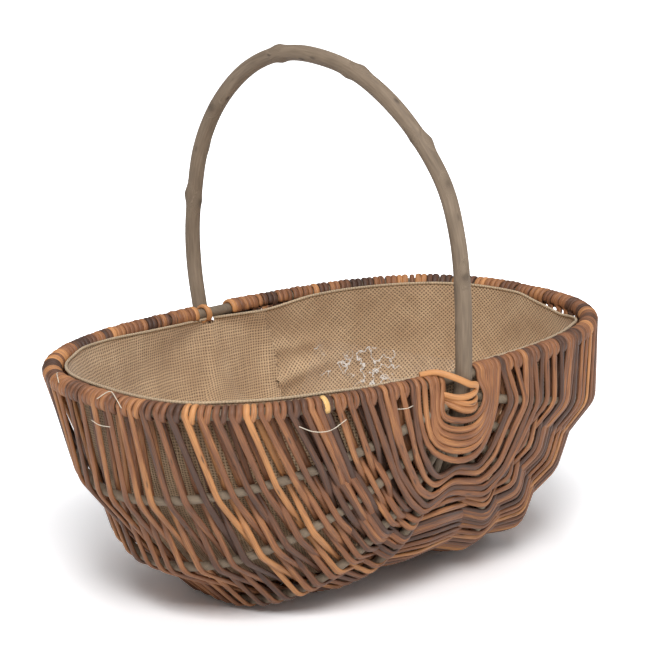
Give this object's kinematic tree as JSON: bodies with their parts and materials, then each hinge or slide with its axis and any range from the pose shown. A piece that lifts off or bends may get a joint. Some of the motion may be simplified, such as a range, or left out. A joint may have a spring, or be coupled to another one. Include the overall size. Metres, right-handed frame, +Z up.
{
  "type": "trug garden basket",
  "caption": "Oval frame basket of woven willow with a fixed hoop handle and a sewn hessian liner.",
  "frame": {"origin": "on the ground, under the middle of the basket's outline", "axes": "+X along the basket, +Y across it to the back joint of the handle, +Z up"},
  "size_m": [0.4874, 0.332, 0.4185],
  "materials": {
    "hoop_rod": "bark left on, dull",
    "frame_rod": "bark left on, dull",
    "willow_weave": "buff to brown willow, faintly glossy",
    "hessian": "coarse open weave",
    "film": "clear thin film"
  },
  "bodies": {
    "root": {"hoop": "hoop_rod", "rim": "frame_rod", "left_rib_1": "frame_rod", "left_rib_2": "frame_rod", "left_rib_3": "frame_rod", "left_rib_4": "frame_rod", "right_rib_1": "frame_rod", "right_rib_2": "frame_rod", "right_rib_3": "frame_rod", "right_rib_4": "frame_rod", "middle_weave": "willow_weave", "front_weave_1": "willow_weave", "front_weave_2": "willow_weave", "front_weave_3": "willow_weave", "front_weave_4": "willow_weave", "back_weave_1": "willow_weave", "back_weave_2": "willow_weave", "back_weave_3": "willow_weave", "back_weave_4": "willow_weave", "front_lashing": "willow_weave", "back_lashing": "willow_weave", "liner_left": "hessian", "liner_right_back": "hessian", "liner_right_front": "hessian", "film": "film"}
  },
  "joints": []
}
